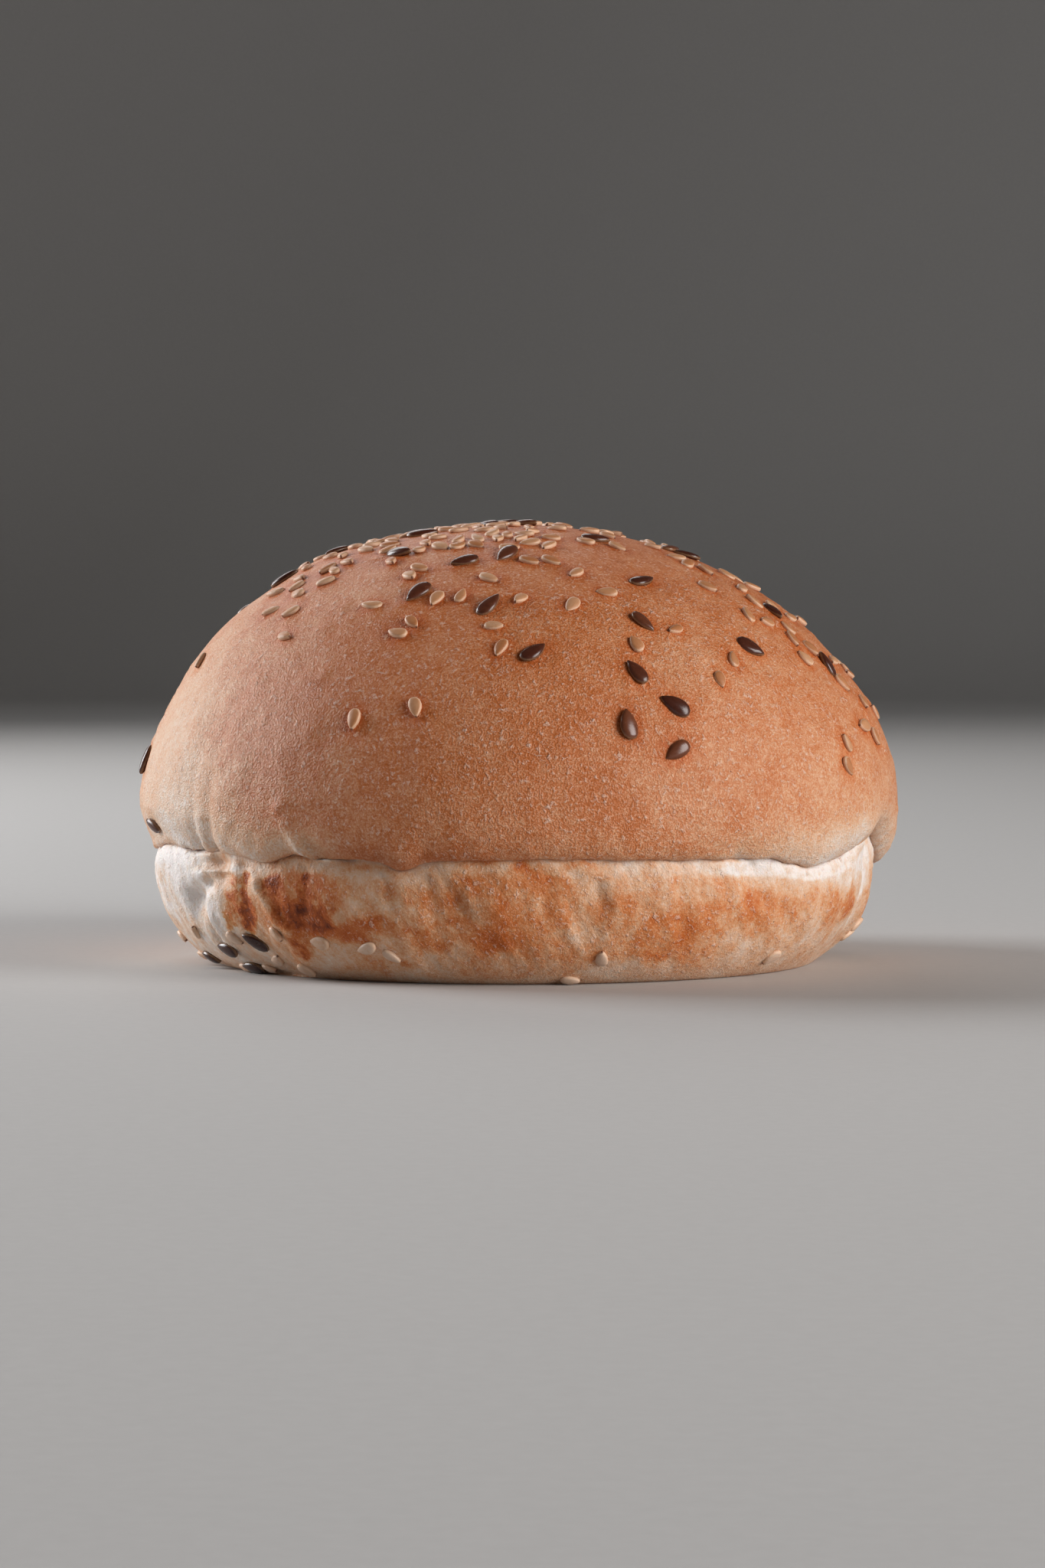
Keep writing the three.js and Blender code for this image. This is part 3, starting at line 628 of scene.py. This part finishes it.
class Wire:
    """A node's output that adds, takes away and multiplies like a number."""

    def __init__(self, finish, socket):
        self.finish = finish
        self.socket = socket

    def _math(self, operation, first, second):
        inputs = {0: first, 1: second}
        return self.finish.node("ShaderNodeMath", {"operation": operation}, inputs)

    def __add__(self, other):
        return self._math("ADD", self, other)

    def __radd__(self, other):
        return self._math("ADD", other, self)

    def __sub__(self, other):
        return self._math("SUBTRACT", self, other)

    def __rsub__(self, other):
        return self._math("SUBTRACT", other, self)

    def __mul__(self, other):
        return self._math("MULTIPLY", self, other)

    def __rmul__(self, other):
        return self._math("MULTIPLY", other, self)


PER_MM = 1000.0  # coordinates are in metres, so this makes a texture's scale one per millimetre
MIX_FACTOR, MIX_FIRST, MIX_SECOND, MIX_COLOUR = 0, 6, 7, 2  # the Mix node's colour sockets
SPECK_SOFTNESS = 0.04


class Finish:
    """A material, with one method that adds a node of any type and a few that use it."""

    def __init__(self, name):
        self.material = bpy.data.materials.new(name)
        self.material.use_nodes = True
        self.tree = self.material.node_tree
        self.tree.nodes.clear()
        self.place = self.node("ShaderNodeTexCoord", output="Object")

    def node(self, kind, settings=None, inputs=None, output=0):
        """A node, its settings set first, then the values or links of its sockets."""
        made = self.tree.nodes.new(kind)
        for key, value in (settings or {}).items():
            if key == "stops":
                ramp = made.color_ramp
                while len(ramp.elements) < len(value):
                    ramp.elements.new(1.0)
                for element, (position, colour) in zip(ramp.elements, value):
                    element.position = position
                    element.color = (*colour, 1.0)
            else:
                setattr(made, key, value)
        for key, value in (inputs or {}).items():
            if isinstance(value, Wire):
                self.tree.links.new(value.socket, made.inputs[key])
            elif isinstance(value, tuple) and len(value) == 3 and made.inputs[key].type == "RGBA":
                made.inputs[key].default_value = (*value, 1.0)
            else:
                made.inputs[key].default_value = value
        return Wire(self, made.outputs[output]) if made.outputs else None

    def attribute(self, name):
        return self.node("ShaderNodeAttribute", {"attribute_name": name}, output="Fac")

    def grain(self, at, scale, detail=3.0, roughness=0.55):
        """Noise from 0 to 1, with this many grains to a millimetre."""
        inputs = {"Vector": at, "Scale": scale * PER_MM, "Detail": detail, "Roughness": roughness}
        return self.node("ShaderNodeTexNoise", None, inputs, "Fac")

    def ease(self, value, low, high):
        """0 below low, 1 above high, and smooth between."""
        inputs = {"Value": value, "From Min": low, "From Max": high}
        return self.node("ShaderNodeMapRange", {"interpolation_type": "SMOOTHSTEP"}, inputs)

    def specks(self, at, scale, core, edge, share):
        """1 inside small round specks, which a share of the grains have."""
        cell = {"Vector": at, "Scale": scale * PER_MM}
        apart = self.node("ShaderNodeTexVoronoi", None, cell, "Distance")
        chance = Wire(self, apart.socket.node.outputs["Color"]) * 1.0  # a colour made one number
        picked = self.ease(chance, 1.0 - share - SPECK_SOFTNESS, 1.0 - share)
        return (1.0 - self.ease(apart, core, edge)) * picked

    def ramp(self, at, stops):
        return self.node("ShaderNodeValToRGB", {"stops": stops}, {"Fac": at}, "Color")

    def tint(self, factor, first, second, blend="MIX"):
        settings = {"data_type": "RGBA", "blend_type": blend, "clamp_factor": True}
        inputs = {MIX_FACTOR: factor, MIX_FIRST: first, MIX_SECOND: second}
        return self.node("ShaderNodeMix", settings, inputs, MIX_COLOUR)

    def bump(self, height, strength=1.0):
        """The normal of a surface with this height in millimetres."""
        inputs = {"Strength": strength, "Distance": MM, "Height": height}
        return self.node("ShaderNodeBump", None, inputs, "Normal")

    def surface(self, settings):
        """The shader itself, joined to the material's output."""
        shader = self.node("ShaderNodeBsdfPrincipled", None, settings)
        self.node("ShaderNodeOutputMaterial", None, {"Surface": shader})


# ---- the crust's finish: a satin skin, mottled, flecked and finely blistered ----
BAKED_COLOURS = [
    (0.00, (0.84, 0.775, 0.735)), (0.12, (0.79, 0.66, 0.565)), (0.22, (0.77, 0.565, 0.425)),
    (0.40, (0.73, 0.43, 0.26)), (0.60, (0.64, 0.27, 0.125)), (0.76, (0.55, 0.168, 0.050)),
    (0.92, (0.46, 0.115, 0.018)), (1.12, (0.30, 0.064, 0.005)), (1.45, (0.13, 0.022, 0.003)),
]
DARKEST = BAKED_COLOURS[-1][0]
FLECK_COLOUR = (0.84, 0.62, 0.51)
PINHOLE_COLOUR = (0.20, 0.06, 0.025)
HALO_COLOUR = (0.96, 0.70, 0.44)
# The colour that the painted shade in the fold multiplies in.
FOLD_SHADE_COLOUR = (0.40, 0.20, 0.10)
AMBER_COLOUR = (1.0, 0.84, 0.55)
STREAK_SLANT = -32  # degrees
STREAK_STRETCH = 2.6
BLISTER_WARP = 0.9 * MM

skin = Finish("crust")
turned = (0.0, math.radians(STREAK_SLANT), 0.0)
slant = {"Vector": skin.place, "Rotation": turned, "Scale": (1.0, 1.0, STREAK_STRETCH)}
slanted = skin.node("ShaderNodeMapping", {"vector_type": "TEXTURE"}, slant)
rippling = {"Vector": skin.place, "Scale": 1.8 * PER_MM}
ripple = skin.node("ShaderNodeTexNoise", None, rippling, "Color")
warp = {0: ripple, 1: (BLISTER_WARP, BLISTER_WARP, BLISTER_WARP), 2: skin.place}
warped = skin.node("ShaderNodeVectorMath", {"operation": "MULTIPLY_ADD"}, warp)

# The grains, from patches a finger wide down to dust.
broad = skin.grain(skin.place, 0.05, 2.0)
blotch = skin.grain(skin.place, 0.21, 4.0, 0.6)
mottle = skin.grain(skin.place, 0.85, 4.0, 0.62)
streak = skin.grain(slanted, 0.8, 3.0, 0.6)
crumbs = skin.grain(skin.place, 1.9, 2.0, 0.6)
strokes = skin.grain(slanted, 2.0, 2.0, 0.6)
sand = skin.grain(skin.place, 3.9, 2.0, 0.6)
grit = skin.ease(sand, 0.30, 0.70)
band = skin.attribute("on_band")
scorched = skin.attribute("scorch")
glaze = skin.attribute("halo")
fold = skin.attribute("fold_shade")

# How far the skin is baked: the oven's browning, made uneven, and more so on the band.
uneven = 0.34 * (broad - 0.5) + 0.36 * (blotch - 0.5) + 0.34 * (mottle - 0.5)
grainy = 0.30 * (crumbs - 0.5) + 0.22 * (grit - 0.5)
patchy = 0.46 * (blotch - 0.5) + 0.26 * (streak - 0.5) + 0.24 * (strokes - 0.5)
baked = skin.attribute("browning") + uneven - grainy * (1.0 - 0.5 * band)
baked = baked + band * patchy + 0.10 * glaze

# The scorched spots, ragged at the edge: toffee brown all over, and burnt in the middle.
ragged = scorched + 0.8 * (streak - 0.5) + 0.8 * (mottle - 0.5) + (crumbs - 0.5)
toffee = skin.ease(ragged, 0.10, 0.42) * skin.ease(scorched, 0.03, 0.20)
burnt = skin.ease(ragged, 0.40, 0.90) * skin.ease(scorched, 0.15, 0.40)
baked = baked + 0.24 * toffee + 0.40 * burnt

# The colour: golden where the band is baked, with pale marks, painted glints and dark pinholes
# over it, and painted shade in the fold.
stops = [(at / DARKEST, tone) for at, tone in BAKED_COLOURS]
colour = skin.ramp(baked * (1 / DARKEST), stops)
amber = band * skin.ease(baked, 0.32, 0.78) + 0.8 * toffee
colour = skin.tint(amber, colour, AMBER_COLOUR, "MULTIPLY")
# Pale specks on the finest grain are painted glints.
glint_specks = skin.ease(sand, 0.57, 0.68)
flecks = skin.ease(crumbs, 0.55, 0.66) * skin.ease(mottle, 0.42, 0.58)
scratches = skin.ease(strokes, 0.60, 0.70) * skin.ease(blotch, 0.44, 0.62)
blisters = skin.specks(warped, 0.80, core=0.16, edge=0.30, share=0.34)
blisters = blisters * skin.ease(blotch, 0.42, 0.56)
pinholes = skin.specks(skin.place, 0.6, core=0.05, edge=0.10, share=0.14)
pale = 0.20 * glint_specks + 0.50 * flecks + 0.34 * scratches + 0.40 * blisters
colour = skin.tint(pale * (1.0 - toffee), colour, FLECK_COLOUR)
colour = skin.tint(0.6 * pinholes, colour, PINHOLE_COLOUR)
colour = skin.tint(0.85 * glaze, colour, HALO_COLOUR, "MULTIPLY")
# Painted shade: the crease and a stretch of the dome just above it are darkened in the colour.
colour = skin.tint(0.85 * fold, colour, FOLD_SHADE_COLOUR, "MULTIPLY")

# The finest relief, in millimetres, and the sheen, a little duller on the band.
height = 0.08 * mottle + 0.10 * blotch + 0.05 * flecks + 0.06 * scratches + 0.09 * blisters
height = height + (0.09 * crumbs + 0.06 * grit) * (1.0 - 0.6 * band) + 0.20 * band * streak
height = height - 0.08 * pinholes
sheen = 0.44 + 0.30 * (mottle - 0.5) - 0.10 * toffee + 0.08 * band
skin.surface({
    "Base Color": colour, "Roughness": sheen, "Normal": skin.bump(height),
    "Specular IOR Level": 0.3, "Subsurface Weight": 0.08,
    "Subsurface Radius": (1.0, 0.5, 0.25), "Subsurface Scale": 1.5 * MM,
})
crust_mesh.materials.append(skin.material)
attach(crust, "root")
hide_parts("roll")


# ---------------------------------------------------------------------------------------------
# The sesame. Hulled white sesame, strewn on the wet dough before baking: flat little teardrops,
# most of them round the crown, each stuck to the crust by its face, cream with a toasted tip.
# ---------------------------------------------------------------------------------------------
SEED_LIFT = 0.2  # share of its thickness by which a seed's middle stands off the crust
TIP_SLIM = 0.42  # how much more the last of the tip narrows

# How the seeds differ: tilt and roll in degrees, length, width, bow in millimetres, toasting.
SEED_TILT = 9
SEED_ROLL = 10
SEED_LENGTHS = (0.90, 1.06)
SEED_WIDTHS = (0.90, 1.08)
SEED_BOW = 0.14
TOASTED_ON_DOME = (0.2, 1)
TOASTED_ON_BAND = (-0.1, 0.15)


def seed_piece(name, kind, places, sides, rings, start, plump):
    """One mesh of seeds, each a ball pressed to a flat teardrop with its tip along its length."""
    ball = bmesh.new()
    bmesh.ops.create_uvsphere(ball, u_segments=sides, v_segments=rings, radius=0.5)
    along_layer = ball.verts.layers.float.new("along")
    across_layer = ball.verts.layers.float.new("across")
    for point in ball.verts:
        point[along_layer] = 2 * point.co.z
        point[across_layer] = 2 * point.co.x
    across, deep, along = np.array([point.co for point in ball.verts]).T
    ball_mesh = bpy.data.meshes.new("ball")
    ball.to_mesh(ball_mesh)
    ball.free()
    slim = 1 - kind["taper"] * along - TIP_SLIM * np.maximum(0, 2 * along) ** 3
    pressed = np.sign(deep) * np.abs(2 * deep) ** plump / 2

    vary = random.Random(start)
    seeds = bmesh.new()
    toast_layer = seeds.verts.layers.float.new("toast")
    for spot in places:
        tilt = Matrix.Rotation(math.radians(vary.uniform(-SEED_TILT, SEED_TILT)), 3, "X")
        roll = Matrix.Rotation(math.radians(vary.uniform(-SEED_ROLL, SEED_ROLL)), 3, "Y")
        grown = vary.uniform(*SEED_LENGTHS)
        fat = vary.uniform(*SEED_WIDTHS)
        bowed = vary.uniform(-SEED_BOW, SEED_BOW) * (1 - 4 * along * along)
        toast = vary.uniform(*(TOASTED_ON_DOME if spot[1] > CREASE_LEVEL else TOASTED_ON_BAND))
        shape = grown * np.stack([
            across * kind["width"] * slim * fat + bowed,
            along * kind["length"],
            pressed * kind["thickness"],
        ])
        middle, side, tip, outward = seed_frame(*spot)
        laid = (np.array([side, tip, outward]).T @ np.array(tilt @ roll) @ shape).T
        laid += middle + outward * SEED_LIFT * kind["thickness"]
        seeds.from_mesh(ball_mesh)
        seeds.verts.ensure_lookup_table()
        for point, where in zip(seeds.verts[-len(laid):], laid * MM):
            point.co = where
            point[toast_layer] = toast
    bpy.data.meshes.remove(ball_mesh)
    return smooth_object(name, seeds)


def seed_finish(name, fibres, stops, rim_edge, rim_share, rim_colour):
    """A seed's coat: coloured by how far it toasted, finely fibrous, with a paler rim."""
    coat = Finish(name)
    along = coat.attribute("along")
    across = coat.attribute("across")
    fibre = coat.grain(coat.place, fibres, 3.0, 0.6)
    colour = coat.ramp(coat.attribute("toast") + 0.5 * (fibre - 0.5), stops)
    rim = coat.ease(across * across + along * along, *rim_edge)
    return coat, fibre, coat.tint(rim_share * rim, colour, rim_colour)


SESAME_TOASTING = [
    (0.0, (0.67, 0.48, 0.36)), (0.25, (0.59, 0.32, 0.175)), (0.6, (0.52, 0.235, 0.105)),
    (1.0, (0.44, 0.165, 0.060)),
]
SESAME_RIM = (0.78, 0.54, 0.37)
SESAME_TIP = (0.12, 0.026, 0.008)

sesame = seed_piece("sesame", SESAME, sesame_places, sides=10, rings=7, start=11, plump=0.55)
hull, fibre, colour = seed_finish("sesame", fibres=1.6, stops=SESAME_TOASTING,
                                  rim_edge=(0.58, 0.86), rim_share=0.7, rim_colour=SESAME_RIM)
tip = hull.ease(hull.attribute("along"), 0.84, 0.96)
hull.surface({
    "Base Color": hull.tint(0.9 * tip, colour, SESAME_TIP),
    "Roughness": 0.42 + 0.2 * (fibre - 0.5), "Normal": hull.bump(0.06 * fibre),
    "Specular IOR Level": 0.4, "Subsurface Weight": 0.1,
    "Subsurface Radius": (1.0, 0.6, 0.3), "Subsurface Scale": 0.6 * MM,
})
sesame.data.materials.append(hull.material)
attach(sesame, "root")
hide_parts("roll")


# ---------------------------------------------------------------------------------------------
# The linseed. Whole brown linseed, larger and darker than the sesame: a plump glossy teardrop
# with a thin paler rim and a slim tip, strewn with the sesame and stuck on in the same way.
# ---------------------------------------------------------------------------------------------
LINSEED_TOASTING = [
    (0.0, (0.038, 0.009, 0.005)), (0.6, (0.080, 0.021, 0.010)), (1.0, (0.14, 0.042, 0.018)),
]
LINSEED_RIM = (0.30, 0.17, 0.085)

linseed = seed_piece("linseed", LINSEED, linseed_places, sides=12, rings=8, start=23, plump=0.8)
coat, fibre, colour = seed_finish("linseed", fibres=1.2, stops=LINSEED_TOASTING,
                                  rim_edge=(0.80, 0.98), rim_share=0.6, rim_colour=LINSEED_RIM)
coat.surface({
    "Base Color": colour, "Roughness": 0.24 + 0.2 * (fibre - 0.5),
    "Normal": coat.bump(0.03 * fibre, 0.5), "Specular IOR Level": 0.5,
})
linseed.data.materials.append(coat.material)
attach(linseed, "root")
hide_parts("roll")


# ---------------------------------------------------------------------------------------------
# The studio: a pale seamless floor that rises into a wall all round, a large soft light at each
# side, a weaker one behind, and the camera a little above the middle of the roll.
# ---------------------------------------------------------------------------------------------
FLOOR_R = 1.6
COVE = [(0.0, 0.0), (0.25, 0.05), (0.42, 0.2), (0.5, 0.45), (0.52, 2.2)]  # out, up
FLOOR_SIDES = 96
PAPER_COLOUR = (0.50, 0.49, 0.48)
TOOTH_COLOUR = (0.54, 0.53, 0.52)

studio = bmesh.new()
wall = [studio.verts.new((0, 0, 0))]
wall += [studio.verts.new((0, -(FLOOR_R + out), up)) for out, up in COVE]
spin_round(studio, wall, FLOOR_SIDES)
floor = smooth_object("floor", studio)
paper = Finish("floor")
pale = paper.tint(paper.grain(paper.place, 0.6, 2.0), PAPER_COLOUR, TOOTH_COLOUR)
paper.surface({"Base Color": pale, "Roughness": 0.8, "Specular IOR Level": 0.2})
floor.data.materials.append(paper.material)


def soft_light(name, azimuth, rise, distance, size, power, colour):
    """A rectangle of light at this azimuth and rise in degrees, aimed at the roll."""
    turn, lift = math.radians(azimuth), math.radians(rise)
    way = Vector((math.sin(turn) * math.cos(lift), -math.cos(turn) * math.cos(lift), math.sin(lift)))
    lamp = bpy.data.lights.new(name, "AREA")
    lamp.shape = "RECTANGLE"
    lamp.size, lamp.size_y = size
    lamp.energy = power
    lamp.color = colour
    holder = put_in_scene(name, lamp)
    holder.location = Vector((0, 0, BELLY_Z * MM)) + way * distance
    holder.rotation_euler = (-way).to_track_quat("-Z", "Y").to_euler()


# The lights: azimuth and rise in degrees, metres away, size in metres, watts, colour.
LIGHTS = [
    ("right_light", 60, 18, 0.9, (0.5, 0.6), 8.0, (1.0, 0.97, 0.95)),
    ("left_light", -113, 20, 0.9, (0.5, 0.6), 9.8, (0.96, 0.975, 1.0)),
    ("back_light", -160, 32, 1.0, (0.7, 0.4), 2.0, (1.0, 0.98, 0.97)),
]
for light in LIGHTS:
    soft_light(*light)

ROOM_COLOUR = (1.0, 0.98, 0.95, 1.0)
ROOM_STRENGTH = 0.045
world = bpy.data.worlds.new("studio")
world.use_nodes = True
backdrop = world.node_tree.nodes["Background"]
backdrop.inputs["Color"].default_value = ROOM_COLOUR
backdrop.inputs["Strength"].default_value = ROOM_STRENGTH
bpy.context.scene.world = world
bpy.context.scene.view_settings.view_transform = "Standard"

EYE_PLACE = (0.0009, -0.612, 0.0508)
EYE_DIP = 2.45  # degrees below level
eye = bpy.data.cameras.new("camera")
eye.lens = 100.0
eye.sensor_width = 36.0
eye.clip_start = 0.01
camera = put_in_scene("camera", eye)
camera.location = EYE_PLACE
camera.rotation_euler = (math.radians(90 - EYE_DIP), 0.0, 0.0)
bpy.context.scene.camera = camera
